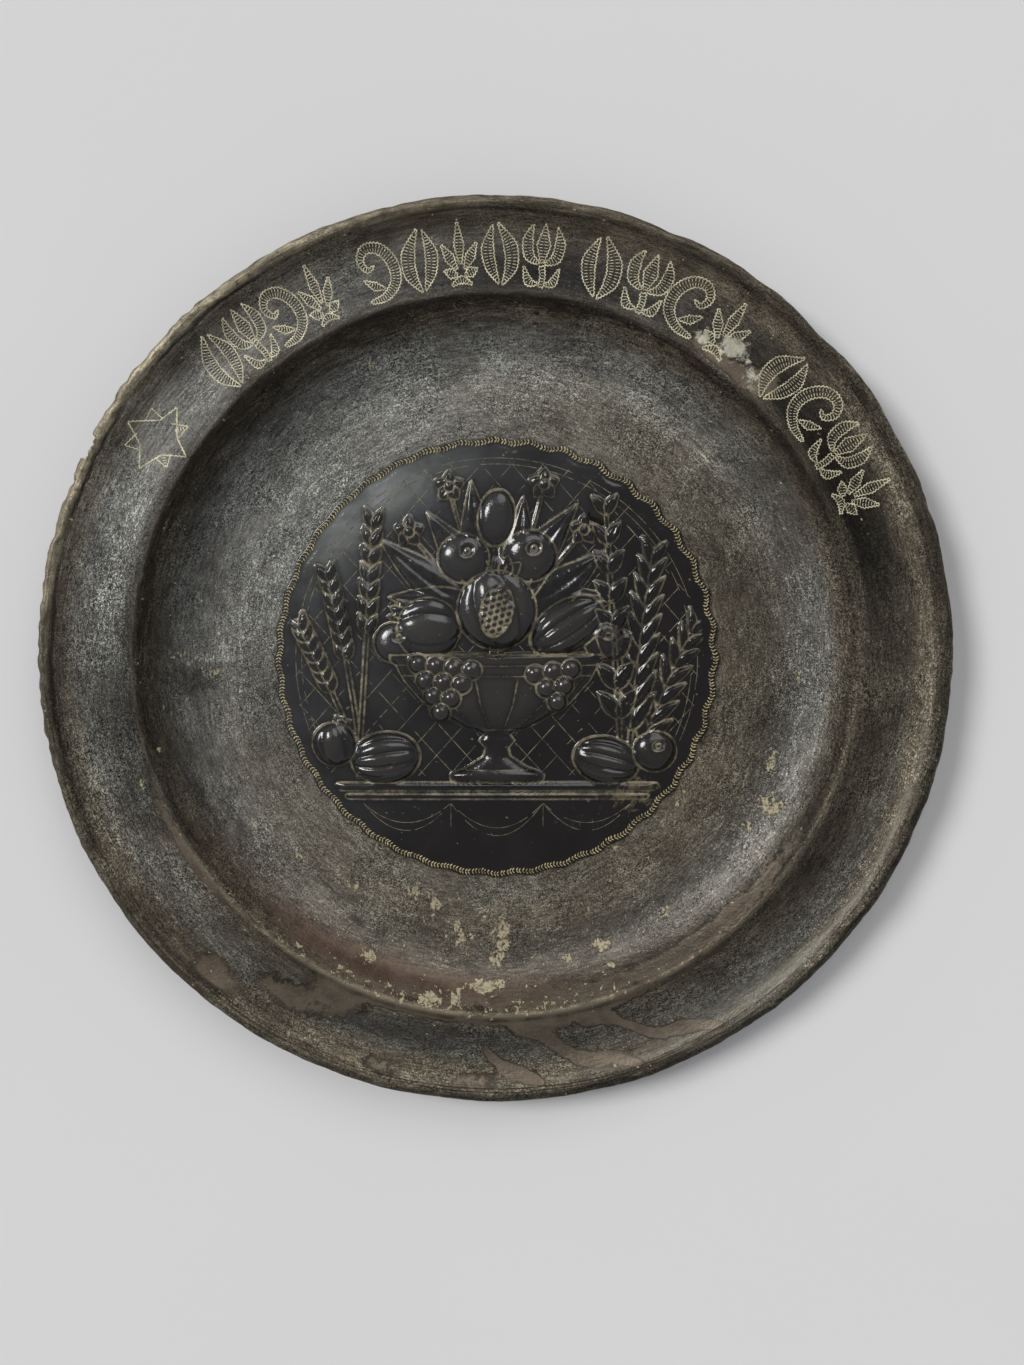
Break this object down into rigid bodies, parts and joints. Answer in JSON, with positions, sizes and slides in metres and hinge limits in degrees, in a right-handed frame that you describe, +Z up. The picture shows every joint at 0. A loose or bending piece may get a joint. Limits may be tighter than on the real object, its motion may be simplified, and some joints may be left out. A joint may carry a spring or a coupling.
{
  "type": "festival charger",
  "caption": "Large round pewter dish with a broad hand-dressed rim, a rolled edge and a raised harvest medallion.",
  "frame": {"origin": "centre of the flat underside that the dish rests on", "axes": "+Z up out of the dish, square to its well; +Y towards the top of the medallion's picture; +X to the picture's right"},
  "size_m": [0.3799, 0.3797, 0.0234],
  "materials": {
    "pewter": "old pewter, dark grey-brown patina",
    "solder": "dull soft solder",
    "medallion_sheet": "thin beaten sheet with a near-black, half-glossy patina"
  },
  "bodies": {
    "root": {"charger_body": "pewter", "solder_seam": "solder", "medallion": "medallion_sheet"}
  },
  "joints": []
}
